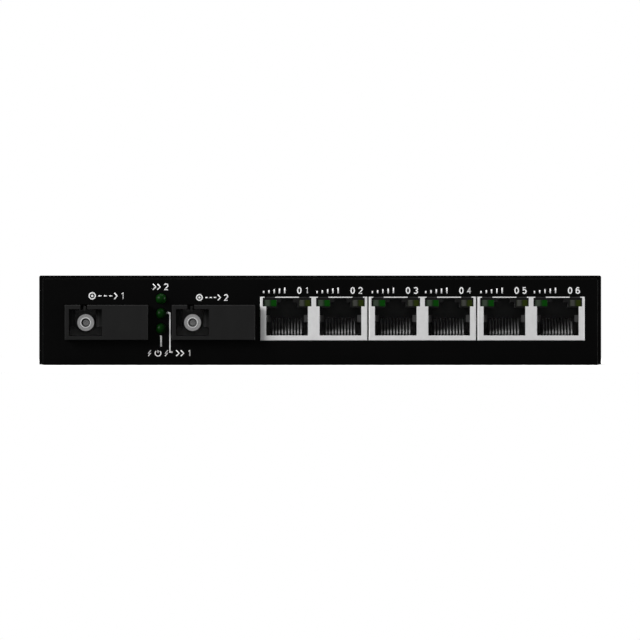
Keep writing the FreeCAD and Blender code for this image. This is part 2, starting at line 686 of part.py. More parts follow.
def contact_carrier(port_x):
    """The contact carrier in a port's floor: a plate under the tails and a comb that guides the arms' ends."""
    half = PORT_HALF - 0.05
    plate_top = 8.05
    comb_front, comb_back, comb_top = JACK_FRONT + 8.6, JACK_FRONT + 13.5, 13.4
    fin = 0.34
    made = [
        box(port_x - half, port_x + half, JACK_FRONT + 4.2, JACK_FRONT + CAVITY_DEPTH, CAVITY_FLOOR, plate_top),
        box(port_x - half, port_x + half, comb_back, JACK_FRONT + CAVITY_DEPTH, 8.6, comb_top),
    ]
    xs = wire_xs(port_x)
    fins = [xs[0] - WIRE_PITCH / 2] + [x + WIRE_PITCH / 2 for x in xs]
    made += [box(x - fin / 2, x + fin / 2, comb_front, comb_back, CAVITY_FLOOR, comb_top) for x in fins]
    return join(made)


def contact_arm(x):
    """The moving part of a contact wire: the hairpin and the sloping arm, up to its free end."""
    y, z, radius, half = JACK_FRONT + HAIRPIN_DEPTH, HAIRPIN_Z, HAIRPIN_RADIUS, WIRE_THICKNESS / 2
    slope = math.radians(ARM_SLOPE)
    x0 = x - WIRE_WIDTH / 2

    def on_arc(angle, r):
        return Vector(x0, y + r * math.cos(angle), z + r * math.sin(angle))

    bottom, front, top = -math.pi / 2, math.pi, math.pi / 2 + slope
    length = (ARM_TOP - z - radius * math.cos(slope)) / math.sin(slope)
    run = Vector(0, math.cos(slope), math.sin(slope)) * length
    outer = [on_arc(a, radius + half) for a in (bottom, front, top)]
    inner = [on_arc(a, radius - half) for a in (top, front, bottom)]
    edges = [
        Part.Arc(*outer).toShape(),
        Part.makeLine(outer[2], outer[2] + run),
        Part.makeLine(outer[2] + run, inner[0] + run),
        Part.makeLine(inner[0] + run, inner[0]),
        Part.Arc(*inner).toShape(),
        Part.makeLine(inner[2], outer[0]),
    ]
    return Part.Face(Part.Wire(edges)).extrude(Vector(WIRE_WIDTH, 0, 0))


def contact_tail(x, y):
    """The fixed part of a contact wire: along the carrier, then down through the board."""
    half_w, half_t = WIRE_WIDTH / 2, WIRE_THICKNESS / 2
    z = HAIRPIN_Z - HAIRPIN_RADIUS
    along = box(x - half_w, x + half_w, JACK_FRONT + HAIRPIN_DEPTH, y + half_t, z - half_t, z + half_t)
    down = box(x - half_w, x + half_w, y - half_t, y + half_t, PIN_END, z + half_t)
    return join([along, down])


def lamp_lead(x, y):
    """One lead of a port lamp."""
    half = 0.22
    start = JACK_FRONT + JACK_SKIN + LAMP_LENGTH
    along = box(x - half, x + half, start, y + half, LAMP_LEAD_Z - half, LAMP_LEAD_Z + half)
    down = box(x - half, x + half, y - half, y + half, PIN_END, LAMP_LEAD_Z + half)
    return join([along, down])


def jack_pins(jack):
    """Every solder pin of a twin jack: the contacts' tails and the lamps' leads."""
    tails = [contact_tail(x, y) for x, y in tail_places(jack)]
    return tails + [lamp_lead(x, y) for x, y in lamp_lead_places(jack)]


def port_lamps(jack, across):
    """The left or the right lamps of both ports, with softened front edges; across is their span in a port."""
    front = JACK_FRONT + JACK_SKIN - 0.1
    made = []
    for port_x in port_xs(jack):
        near, far = port_x + across[0], port_x + across[1]
        lamp = box(near, far, front, JACK_FRONT + JACK_SKIN + LAMP_LENGTH, LAMP_Z[0], LAMP_Z[1])
        made.append(lamp.makeFillet(0.2, [e for e in lamp.Edges if abs(e.CenterOfMass.y - front) < 0.01]))
    return made


# ---- Power inlet and earth screw ----

EARTH_HOLE_RADIUS = 2.15
INLET_FRONT = BACK - SHEET - 0.1  # the body's face, behind the back panel
INLET_END = BACK + INLET_NOSE_PROUD
LEAF_THICKNESS = 0.3


def inlet_body():
    """The barrel inlet's moulded body, with its bore and a pocket for the leaf contact."""
    half, floor = INLET_WIDTH / 2, BOARD_TOP
    back = INLET_FRONT - INLET_LENGTH
    block = box(INLET_X - half, INLET_X + half, back, INLET_FRONT, floor, floor + INLET_HEIGHT)
    nose = rod(INLET_X, INLET_FRONT - 1, INLET_Z, INLET_NOSE_RADIUS, INLET_END - INLET_FRONT + 1, BACKWARD)
    bore_end = INLET_END - INLET_BORE_DEPTH
    return join([block, nose]).cut([
        rod(INLET_X, bore_end, INLET_Z, INLET_BORE_RADIUS, INLET_BORE_DEPTH + 1, BACKWARD),
        rod(INLET_X, back - 1, INLET_Z, INLET_ROOT_RADIUS + 0.02, INLET_LENGTH, BACKWARD),
        box(INLET_X - 1.5, INLET_X + 1.5, LEAF_HINGE[0] - 1.2, INLET_FRONT - 0.7, floor - 1, INLET_Z - 1),
        box(INLET_X - 1.5, INLET_X + 1.5, back - 1, LEAF_HINGE[0], floor - 1, floor + 1.4),
    ])


def inlet_pin():
    """The centre pin, thicker at its root, with its solder tab at the inner end."""
    tip = INLET_END - 0.6
    shoulder = INLET_END - INLET_BORE_DEPTH
    back = INLET_FRONT - INLET_LENGTH - 0.6
    pin = rod(INLET_X, shoulder, INLET_Z, INLET_PIN_RADIUS, tip - shoulder, BACKWARD)
    pin = pin.makeFillet(0.5, [e for e in pin.Edges if e.CenterOfMass.y > tip - 0.01])
    root = rod(INLET_X, back, INLET_Z, INLET_ROOT_RADIUS, shoulder - back, BACKWARD)
    x, y = inlet_tab_places()[0]
    tab = box(x - 1.0, x + 1.0, y - 0.15, y + 0.15, PIN_END, INLET_Z + 1.4)
    return join([pin, root, tab])


def inlet_tab_places():
    """Where the inlet's two solder tabs enter the board: the pin's and the leaf's."""
    return [(INLET_X, INLET_FRONT - INLET_LENGTH - 0.45), (INLET_X, LEAF_HINGE[0] - 0.8)]


def leaf_outline():
    """The leaf contact's upper side, from its root to its tip, as y and z."""
    y, z = LEAF_HINGE
    return [(y, z), (y + 4.4, z + 0.7), (y + 6.2, z + 2.1), (y + 7.2, z + 2.1), (y + 8.4, z + 1.2)]


def inlet_leaf():
    """The leaf contact that presses on the plug's barrel."""
    upper = leaf_outline()
    lower = [(y, z - LEAF_THICKNESS) for y, z in reversed(upper)]
    return side_prism(upper + lower, INLET_X - 1.2, INLET_X + 1.2)


def inlet_leaf_tab():
    """The leaf's fixed root and solder tab."""
    x, y = inlet_tab_places()[1]
    root = LEAF_HINGE[1]
    post = box(x - 1.0, x + 1.0, y - 0.15, y + 0.15, PIN_END, root)
    foot = box(x - 1.0, x + 1.0, y, LEAF_HINGE[0] - 0.05, root - LEAF_THICKNESS, root)
    return join([post, foot])


def earth_screw():
    """The earth terminal's pan-head screw, at the back."""
    return placed(pan_screw(1.95, 4.0, 2.2, 7.0), Vector(EARTH_X, BACK + 0.8, EARTH_Z), BACKWARD)


def earth_washer():
    """A toothed lock washer under the screw's head."""
    teeth = 12
    ring = turned([(2.1, 0), (4.4, 0), (4.4, 0.8), (2.1, 0.8)])
    gaps = []
    for k in range(teeth):
        gap = box(3.6, 5.0, -0.3, 0.3, -1, 2)
        gap.rotate(Vector(0, 0, 0), UP, 360 / teeth * k)
        gaps.append(gap)
    return placed(ring.cut(gaps), Vector(EARTH_X, BACK, EARTH_Z), BACKWARD)


def earth_nut():
    """The nut behind the back panel."""
    nut = hexagon(7.0, 3.2).cut(rod(0, 0, -1, 2.0, 6, UP))
    return placed(nut, Vector(EARTH_X, BACK - SHEET, EARTH_Z), FORWARD)


# ---- Parts on the main board ----

CHIP_X, CHIP_Y, CHIP_SIDE, CHIP_HEIGHT = 20.0, -4.0, 14.0, 1.4
CHIP_LEADS_A_SIDE, CHIP_LEAD_PITCH = 16, 0.8


def chip_body(x, y, width, length, height):
    """A moulded chip package with chamfered top edges."""
    low = BOARD_TOP + 0.1
    block = box(x - width / 2, x + width / 2, y - length / 2, y + length / 2, low, low + height)
    return block.makeChamfer(0.2, [e for e in block.Edges if e.CenterOfMass.z > low + height - 0.01])


def gull_leads(x, y, reach, count, pitch, angle):
    """A row of gull-wing leads along one side of a package."""
    low, mid, thick = BOARD_TOP, BOARD_TOP + 0.8, 0.15
    outline = [
        (reach, mid), (reach, mid + thick), (reach + 0.5, mid + thick), (reach + 0.7, low + thick),
        (reach + 1.2, low + thick), (reach + 1.2, low), (reach + 0.55, low), (reach + 0.35, mid),
    ]
    row = []
    for i in range(count):
        offset = (i - (count - 1) / 2) * pitch
        lead = side_prism(outline, offset - 0.15, offset + 0.15)
        lead.rotate(Vector(0, 0, 0), UP, angle)
        lead.translate(Vector(x, y, 0))
        row.append(lead)
    return row


def switch_chip_leads():
    """The leads on the switch chip's four sides."""
    reach = CHIP_SIDE / 2
    return [
        lead
        for quarter in range(4)
        for lead in gull_leads(CHIP_X, CHIP_Y, reach, CHIP_LEADS_A_SIDE, CHIP_LEAD_PITCH, 90 * quarter)
    ]


def port_transformers():
    """One isolating transformer block behind each twin jack."""
    return [chip_body(jack_x(jack), -22.0, 15.2, 8.6, 5.2) for jack in range(JACK_COUNT)]


def crystal_can():
    """The clock crystal's flat can."""
    can = box(-5.4, 5.4, -2.15, 2.15, 0, 3.5)
    can = can.makeFillet(2.1, [e for e in can.Edges if abs(e.CenterOfMass.z - 1.75) < 0.01])
    flange = box(-5.8, 5.8, -2.5, 2.5, 0, 0.4)
    can = join([can, flange])
    can.translate(Vector(2.0, -4.0, BOARD_TOP))
    return can


CAPACITORS = ((34.0, 30.0, 4.0, 11.5), (44.0, 30.0, 3.15, 8.0), (36.0, 20.0, 3.15, 8.0))


def capacitors():
    """Electrolytic capacitors near the inlet: x, y, radius and height."""
    made = []
    for x, y, radius, height in CAPACITORS:
        can = rod(x, y, BOARD_TOP, radius, height, UP)
        can = can.makeFillet(0.5, [e for e in can.Edges if e.CenterOfMass.z > BOARD_TOP + height - 0.01])
        groove = Part.makeTorus(radius + 0.25, 0.6, Vector(x, y, BOARD_TOP + 1.6), UP)
        made.append(can.cut(groove))
    return made


def power_inductor():
    """The regulator's moulded inductor."""
    block = box(46.4, 53.6, 14.4, 21.6, BOARD_TOP, BOARD_TOP + 4.0)
    return block.makeFillet(1.2, [e for e in block.Edges if abs(e.CenterOfMass.z - BOARD_TOP - 2.0) < 0.01])


def small_chips():
    """The memory chip and the power regulator."""
    return [chip_body(34.0, 2.0, 5.0, 4.0, 1.5), chip_body(50.0, 6.0, 5.0, 4.0, 1.5)]


def chip_components():
    """Small resistors and capacitors in rows round the switch chip."""
    rows = [(9.0 + 2.6 * i, 8.0) for i in range(8)] + [(9.0 + 2.6 * i, -13.6) for i in range(8)]
    rows += [(x, -9.0 + 2.4 * i) for x in (-10.0, -13.0) for i in range(5)]
    return [box(x - 0.8, x + 0.8, y - 0.4, y + 0.4, BOARD_TOP, BOARD_TOP + 0.55) for x, y in rows]


def main():
    """Write every node."""
    os.makedirs("parts", exist_ok=True)
    write("base_chassis", base_chassis())
    write("top_cover", top_cover())
    write("cover_screws", *cover_screws())
    write("board_standoffs", *standoffs())
    write("board_screws", *board_screws())
    write("main_board", main_board())
    for number, left in enumerate(MODULE_LEFT, 1):
        write(f"fibre_housing_{number}", fibre_housing(left))
        write(f"fibre_latch_clip_{number}", fibre_clip(left))
        write(f"fibre_barrel_{number}", fibre_barrel(left))
        write(f"fibre_sleeve_{number}", fibre_sleeve(left))
        write(f"fibre_stub_{number}", fibre_stub(left))
    write("fibre_optics", *[fibre_optics(left) for left in MODULE_LEFT])
    write("fibre_boards", *[fibre_board(left) for left in MODULE_LEFT])
    write("fibre_pins", *[pin for left in MODULE_LEFT for pin in fibre_pins(left)])
    for number, z in enumerate(LIGHT_Z, 1):
        write(f"status_light_{number}", status_light(z))
    write("status_light_leads", *light_leads())
    write("status_light_holder", light_holder())
    for jack in range(JACK_COUNT):
        write(f"jack_shield_{jack + 1}", jack_shield(jack))
        write(f"jack_housing_{jack + 1}", jack_housing(jack))
        write(f"jack_green_lamps_{jack + 1}", *port_lamps(jack, LEFT_LAMP_X))
        write(f"jack_yellow_lamps_{jack + 1}", *port_lamps(jack, RIGHT_LAMP_X))
        for side, port_x in enumerate(port_xs(jack)):
            write(f"port_contacts_{2 * jack + side + 1}", *[contact_arm(x) for x in wire_xs(port_x)])
    every_port = [port_x for jack in range(JACK_COUNT) for port_x in port_xs(jack)]
    write("contact_carriers", *[contact_carrier(port_x) for port_x in every_port])
    write("jack_pins", *[pin for jack in range(JACK_COUNT) for pin in jack_pins(jack)])
    write("inlet_body", inlet_body())
    write("inlet_pin", inlet_pin())
    write("inlet_leaf", inlet_leaf())
    write("inlet_leaf_tab", inlet_leaf_tab())
    write("earth_screw", earth_screw())
    write("earth_washer", earth_washer())
    write("earth_nut", earth_nut())
    write("switch_chip", chip_body(CHIP_X, CHIP_Y, CHIP_SIDE, CHIP_SIDE, CHIP_HEIGHT))
    write("switch_chip_leads", *switch_chip_leads())
    write("port_transformers", *port_transformers())
    write("clock_crystal", crystal_can())
    write("capacitors", *capacitors())
    write("power_inductor", power_inductor())
    write("small_chips", *small_chips())
    write("chip_components", *chip_components())


main()
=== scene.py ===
"""Desktop fibre switch: materials, printed marks, small inner details, studio light and camera.

Everything is in metres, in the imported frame: +X to the right seen from the front, +Y to the back, +Z up."""

import math

import bmesh
import bpy
from mathutils import Matrix, Vector


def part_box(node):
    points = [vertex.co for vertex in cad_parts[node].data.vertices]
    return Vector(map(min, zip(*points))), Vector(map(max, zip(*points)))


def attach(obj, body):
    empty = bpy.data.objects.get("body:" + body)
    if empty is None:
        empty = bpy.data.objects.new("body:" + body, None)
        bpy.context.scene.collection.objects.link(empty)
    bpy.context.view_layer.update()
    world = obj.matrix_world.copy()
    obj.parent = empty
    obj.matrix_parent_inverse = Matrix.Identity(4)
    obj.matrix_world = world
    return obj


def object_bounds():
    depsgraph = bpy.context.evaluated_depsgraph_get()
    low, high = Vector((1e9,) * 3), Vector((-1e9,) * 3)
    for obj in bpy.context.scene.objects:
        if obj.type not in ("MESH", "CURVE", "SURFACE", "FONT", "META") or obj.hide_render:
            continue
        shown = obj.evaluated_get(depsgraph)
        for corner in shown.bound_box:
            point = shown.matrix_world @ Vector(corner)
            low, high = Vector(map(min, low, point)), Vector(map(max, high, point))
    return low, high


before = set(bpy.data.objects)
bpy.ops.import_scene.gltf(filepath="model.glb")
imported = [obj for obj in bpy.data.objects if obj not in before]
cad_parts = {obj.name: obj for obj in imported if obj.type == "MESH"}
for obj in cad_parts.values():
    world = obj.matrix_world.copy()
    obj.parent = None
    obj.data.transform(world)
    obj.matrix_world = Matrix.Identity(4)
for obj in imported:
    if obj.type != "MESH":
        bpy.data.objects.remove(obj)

CAD_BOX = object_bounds()
MM = 0.001
BODY = "body"

# ---- Places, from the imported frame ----

PORTS = [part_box(f"port_contacts_{n}") for n in range(1, 7)]
PORT_X = [(low.x + high.x) / 2 for low, high in PORTS]
PORT_HALF = 5.9 * MM  # a little less than half of a port's opening
LIGHTS = [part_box(f"status_light_{n}") for n in (1, 2, 3)]
LIGHT_X = (LIGHTS[0][0].x + LIGHTS[0][1].x) / 2
LIGHT_Z = [(low.z + high.z) / 2 for low, high in LIGHTS]
BARRELS = [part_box(f"fibre_barrel_{n}") for n in (1, 2)]
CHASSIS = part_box("base_chassis")
FRONT, BACK = CHASSIS[0].y, CHASSIS[1].y
TOP = CAD_BOX[1].z


# ---- Node graph helpers ----


def new_material(name):
    """An empty material with a Principled shader, and its node tree."""
    material = bpy.data.materials.new(name)
    material.use_nodes = True
    tree = material.node_tree
    tree.nodes.clear()
    output = tree.nodes.new("ShaderNodeOutputMaterial")
    shader = tree.nodes.new("ShaderNodeBsdfPrincipled")
    tree.links.new(shader.outputs["BSDF"], output.inputs["Surface"])
    return material, tree, shader


def object_coordinates(tree, scale=(1, 1, 1), offset=(0, 0, 0)):
    """The point's place in the row frame, moved and then scaled."""
    source = tree.nodes.new("ShaderNodeTexCoord").outputs["Object"]
    mapping = tree.nodes.new("ShaderNodeMapping")
    mapping.inputs["Location"].default_value = [-o * s for o, s in zip(offset, scale)]
    mapping.inputs["Scale"].default_value = scale
    tree.links.new(source, mapping.inputs["Vector"])
    return mapping.outputs["Vector"]


def noise(tree, size, detail=2.0, stretch=(1, 1, 1)):
    """Noise whose cells are about size metres across."""
    node = tree.nodes.new("ShaderNodeTexNoise")
    node.inputs["Scale"].default_value = 1 / size
    node.inputs["Detail"].default_value = detail
    tree.links.new(object_coordinates(tree, stretch), node.inputs["Vector"])
    return node.outputs["Fac"]


def spread(tree, factor, low, high, start=0.3, end=0.7):
    """A factor turned into a number between low and high."""
    node = tree.nodes.new("ShaderNodeMapRange")
    node.inputs["From Min"].default_value = start
    node.inputs["From Max"].default_value = end
    node.inputs["To Min"].default_value = low
    node.inputs["To Max"].default_value = high
    tree.links.new(factor, node.inputs["Value"])
    return node.outputs["Result"]


def ramp(tree, factor, stops):
    """A colour from a factor, by stops of (place, colour)."""
    node = tree.nodes.new("ShaderNodeValToRGB")
    elements = node.color_ramp.elements
    while len(elements) < len(stops):
        elements.new(0.5)
    for element, (place, colour) in zip(elements, stops):
        element.position = place
        element.color = (*colour, 1)
    tree.links.new(factor, node.inputs["Fac"])
    return node.outputs["Color"]


def bump(tree, shader, height, depth, strength=1.0, below=None):
    """A bump of depth metres on the shader, on top of another one if given."""
    node = tree.nodes.new("ShaderNodeBump")
    node.inputs["Distance"].default_value = depth
    node.inputs["Strength"].default_value = strength
    tree.links.new(height, node.inputs["Height"])
    if below is not None:
        tree.links.new(below, node.inputs["Normal"])
    tree.links.new(node.outputs["Normal"], shader.inputs["Normal"])
    return node.outputs["Normal"]


def arithmetic(tree, operation, first, second):
    """A sum, product or other operation on two numbers, each a socket or a constant."""
    node = tree.nodes.new("ShaderNodeMath")
    node.operation = operation
    for socket, value in zip(node.inputs, (first, second)):
        if isinstance(value, (int, float)):
            socket.default_value = value
        else:
            tree.links.new(value, socket)
    return node.outputs["Value"]


def grey(value):
    """A neutral colour."""
    return (value, value, value)


# ---- Materials ----


def powder_coat():
    """Black powder coat: nearly matt, slightly uneven in tone, with orange peel and a finer grain."""
    material, tree, shader = new_material("powder_coat_black")
    shader.inputs["Specular IOR Level"].default_value = 0.055
    tone = ramp(tree, noise(tree, 9 * MM, 3), [(0.3, grey(0.0011)), (0.7, grey(0.0015))])
    tree.links.new(tone, shader.inputs["Base Color"])
    tree.links.new(spread(tree, noise(tree, 0.35 * MM), 0.38, 0.46), shader.inputs["Roughness"])
    peel = bump(tree, shader, noise(tree, 0.55 * MM, 1), 0.01 * MM, 0.4)
    bump(tree, shader, noise(tree, 0.16 * MM, 2), 0.003 * MM, 0.4, peel)
    return material


def moulded(name, colour, roughness=0.5, specular=0.2, grain=0.12):
    """Moulded plastic with a spark-eroded grain and faint flow marks."""
    material, tree, shader = new_material(name)
    shader.inputs["Specular IOR Level"].default_value = specular
    darker = tuple(c * 0.86 for c in colour)
    flow = noise(tree, 3.5 * MM, 3, (1, 1, 0.4))
    tree.links.new(ramp(tree, flow, [(0.3, darker), (0.7, colour)]), shader.inputs["Base Color"])
    wear = spread(tree, noise(tree, 0.4 * MM), roughness - 0.05, roughness + 0.06)
    tree.links.new(wear, shader.inputs["Roughness"])
    bump(tree, shader, noise(tree, grain * MM, 2), 0.006 * MM, 0.5)
    return material


def sheet_metal(name, colour, roughness, lines=(0.02, 1, 1), metallic=1.0):
    """Plated sheet metal: rolling lines along one way, and a soft mottle from the plating."""
    material, tree, shader = new_material(name)
    shader.inputs["Metallic"].default_value = metallic
    dull = tuple(c * 0.93 for c in colour)
    mottle = noise(tree, 1.6 * MM, 4)
    tree.links.new(ramp(tree, mottle, [(0.3, dull), (0.7, colour)]), shader.inputs["Base Color"])
    rolling = noise(tree, 0.12 * MM, 3, lines)
    tree.links.new(spread(tree, rolling, roughness - 0.05, roughness + 0.06), shader.inputs["Roughness"])
    bump(tree, shader, rolling, 0.002 * MM, 0.5)
    return material


def turned_metal(name, colour, roughness, axis):
    """Metal turned on a lathe, with rings round an axis along Y through a point."""
    material, tree, shader = new_material(name)
    shader.inputs["Metallic"].default_value = 1.0
    rings = tree.nodes.new("ShaderNodeTexWave")
    rings.wave_type = "RINGS"
    rings.rings_direction = "Y"
    rings.inputs["Scale"].default_value = 1 / (0.9 * MM)
    rings.inputs["Distortion"].default_value = 0.6
    tree.links.new(object_coordinates(tree, offset=(axis.x, 0, axis.z)), rings.inputs["Vector"])
    dull = tuple(c * 0.9 for c in colour)
    tone = ramp(tree, noise(tree, 0.7 * MM, 3), [(0.3, dull), (0.7, colour)])
    tree.links.new(tone, shader.inputs["Base Color"])
    wear = spread(tree, rings.outputs["Fac"], roughness - 0.03, roughness + 0.05, 0, 1)
    tree.links.new(wear, shader.inputs["Roughness"])
    bump(tree, shader, rings.outputs["Fac"], 0.002 * MM, 0.4)
    return material


def contact_wire():
    """Plated spring wire. Its base colour is painted shade and painted light along the port's depth: darkest
    just behind the hairpin and lightest at each arm's deep end.
    """
    material, tree, shader = new_material("contact_plating")
    shader.inputs["Metallic"].default_value = 0.45
    separate = tree.nodes.new("ShaderNodeSeparateXYZ")
    tree.links.new(object_coordinates(tree), separate.inputs["Vector"])
    wobble = spread(tree, noise(tree, 0.5 * MM), -0.2 * MM, 0.2 * MM)
    depth = arithmetic(tree, "ADD", arithmetic(tree, "SUBTRACT", separate.outputs["Y"], FRONT), wobble)
    # painted shade just behind the hairpin and painted light deeper in, as base colour by depth from the
    # front
    port_depth_light = spread(tree, depth, 0, 1, 2 * MM, 14 * MM)
    stops = [(0.0, grey(0.5)), (0.07, grey(0.45)), (0.13, grey(0.3)), (0.5, grey(0.6)), (0.8, grey(0.95))]
    tree.links.new(ramp(tree, port_depth_light, stops), shader.inputs["Base Color"])
    tree.links.new(spread(tree, noise(tree, 0.3 * MM), 0.36, 0.46), shader.inputs["Roughness"])
    bump(tree, shader, noise(tree, 0.15 * MM, 2), 0.002 * MM, 0.4)
    return material


def ceramic():
    """Polished zirconia."""
    material, tree, shader = new_material("zirconia_white")
    shader.inputs["Coat Weight"].default_value = 0.3
    tone = ramp(tree, noise(tree, 0.8 * MM, 2), [(0.3, (0.66, 0.66, 0.64)), (0.7, (0.74, 0.74, 0.72))])
    tree.links.new(tone, shader.inputs["Base Color"])
    tree.links.new(spread(tree, noise(tree, 0.3 * MM), 0.12, 0.2), shader.inputs["Roughness"])
    return material


def solder_mask():
    """A green circuit board: tracks under the mask."""
    material, tree, shader = new_material("circuit_board_green")
    shader.inputs["Specular IOR Level"].default_value = 0.5
    tracks = tree.nodes.new("ShaderNodeTexBrick")
    tracks.inputs["Scale"].default_value = 1 / (6 * MM)
    tracks.inputs["Mortar Size"].default_value = 0.03
    tracks.inputs["Color1"].default_value = (0.008, 0.085, 0.03, 1)
    tracks.inputs["Color2"].default_value = (0.012, 0.11, 0.04, 1)
    tracks.inputs["Mortar"].default_value = (0.03, 0.2, 0.07, 1)
    tree.links.new(object_coordinates(tree), tracks.inputs["Vector"])
    tree.links.new(tracks.outputs["Color"], shader.inputs["Base Color"])
    tree.links.new(spread(tree, noise(tree, 1.2 * MM), 0.22, 0.34), shader.inputs["Roughness"])
    bump(tree, shader, tracks.outputs["Fac"], 0.03 * MM, 0.6)
    return material


def blackened_steel():
    """Black oxide on screw heads, with faint handling marks."""
    material, tree, shader = new_material("black_oxide_steel")
    shader.inputs["Metallic"].default_value = 0.8
    tone = ramp(tree, noise(tree, 0.8 * MM, 4), [(0.35, grey(0.012)), (0.7, grey(0.035))])
    tree.links.new(tone, shader.inputs["Base Color"])
    tree.links.new(spread(tree, noise(tree, 0.3 * MM, 3), 0.34, 0.5), shader.inputs["Roughness"])
    bump(tree, shader, noise(tree, 0.1 * MM, 2), 0.003 * MM, 0.5)
    return material


def tinted_lens():
    """The round lights' green diffusing epoxy."""
    material, tree, shader = new_material("lens_green")
    shader.inputs["Specular IOR Level"].default_value = 0.075
    stops = [(0.3, (0.0006, 0.02, 0.0006)), (0.7, (0.0009, 0.023, 0.0009))]
    tree.links.new(ramp(tree, noise(tree, 1.5 * MM, 1), stops), shader.inputs["Base Color"])
    tree.links.new(spread(tree, noise(tree, 0.4 * MM), 0.3, 0.4), shader.inputs["Roughness"])
    return material


def lamp_lens(name, tint, left_grey, node):
    """A port lamp's window: pale grey at its left and tinted at its right, with a dark band at its left edge
    and a darker band between the two as painted shade.
    """
    material, tree, shader = new_material(name)
    shader.inputs["Specular IOR Level"].default_value = 0.06
    shader.inputs["Roughness"].default_value = 0.35
    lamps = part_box(node)
    pitch = PORT_X[1] - PORT_X[0]
    width = (lamps[1].x - lamps[0].x) - pitch
    start = lamps[0].x
    separate = tree.nodes.new("ShaderNodeSeparateXYZ")
    tree.links.new(object_coordinates(tree, offset=(start, 0, 0)), separate.inputs["Vector"])
    across = arithmetic(tree, "DIVIDE", arithmetic(tree, "MODULO", separate.outputs["X"], pitch), width)
    wobble = arithmetic(tree, "MULTIPLY", arithmetic(tree, "SUBTRACT", noise(tree, 0.5 * MM), 0.5), 0.08)
    place = arithmetic(tree, "ADD", across, wobble)
    # edge and shaded are painted shade: the dark left edge, and the darker band between grey and tint
    edge = tuple(c * 0.3 + 0.004 for c in tint)
    shaded = tuple(c * 0.4 + 0.006 for c in tint)
    stops = [(0.0, edge), (0.1, left_grey), (0.34, left_grey), (0.52, shaded), (0.62, tint), (1.0, tint)]
    tree.links.new(ramp(tree, place, stops), shader.inputs["Base Color"])
    bump(tree, shader, noise(tree, 0.2 * MM, 2), 0.004 * MM, 0.4)
    return material


def ink():
    """White screen-printed ink, slightly uneven."""
    material, tree, shader = new_material("ink_white")
    shader.inputs["Specular IOR Level"].default_value = 0.2
    tone = ramp(tree, noise(tree, 0.3 * MM, 3), [(0.3, grey(0.9)), (0.7, grey(0.97))])
    tree.links.new(tone, shader.inputs["Base Color"])
    tree.links.new(spread(tree, noise(tree, 0.15 * MM), 0.5, 0.7), shader.inputs["Roughness"])
    bump(tree, shader, noise(tree, 0.1 * MM, 2), 0.003 * MM, 0.5)
    return material


def finish_node(name, material):
    """Gives a CAD node one material."""
    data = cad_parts[name].data
    data.materials.clear()
    data.materials.append(material)
    for polygon in data.polygons:
        polygon.material_index = 0


def finish_faces(name, material, belongs):
    """Gives a second material to those of a CAD node's faces that a test picks."""
    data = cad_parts[name].data
    data.materials.append(material)
    for polygon in data.polygons:
        if belongs(polygon.center, polygon.normal):
            polygon.material_index = len(data.materials) - 1


def port_spring_test(centre, normal):
    """Whether a face of a jack's shield is on one of the springs that are folded back into the ports; these
    faces get a darker metal than the shield, as painted shade.
    """
    low, high = PORTS[0][0].z, PORTS[0][1].z + 3 * MM
    behind_skin, spring_end = FRONT - 0.28 * MM, FRONT + 5 * MM
    inside = any(abs(centre.x - x) < PORT_HALF for x in PORT_X)
    return inside and behind_skin < centre.y < spring_end and low < centre.z < high


def clip_arm_test(barrel_low):
    """Whether a face of a latch clip is on the front part of one of its arms."""
    deepest = barrel_low.y + 5.9 * MM
    left, right = barrel_low.x + 0.1 * MM, barrel_low.x + 4.9 * MM
    return lambda centre, normal: centre.y < deepest and not left <= centre.x <= right


def sheared_edge_test(centre, normal):
    """Whether a face is the cut edge of the shield's top, behind the notches over the lamps; it gets a
    near-black colour as painted shade in the notches.
    """
    near, far = FRONT + 0.2 * MM, FRONT + 1 * MM
    return normal.y < -0.9 and near < centre.y < far and centre.z > PORTS[0][1].z


def nearer_than(y):
    """Whether a face is in front of a plane."""
    return lambda centre, normal: centre.y < y


def deeper_than(y):
    """Whether a face is behind a plane."""
    return lambda centre, normal: centre.y > y


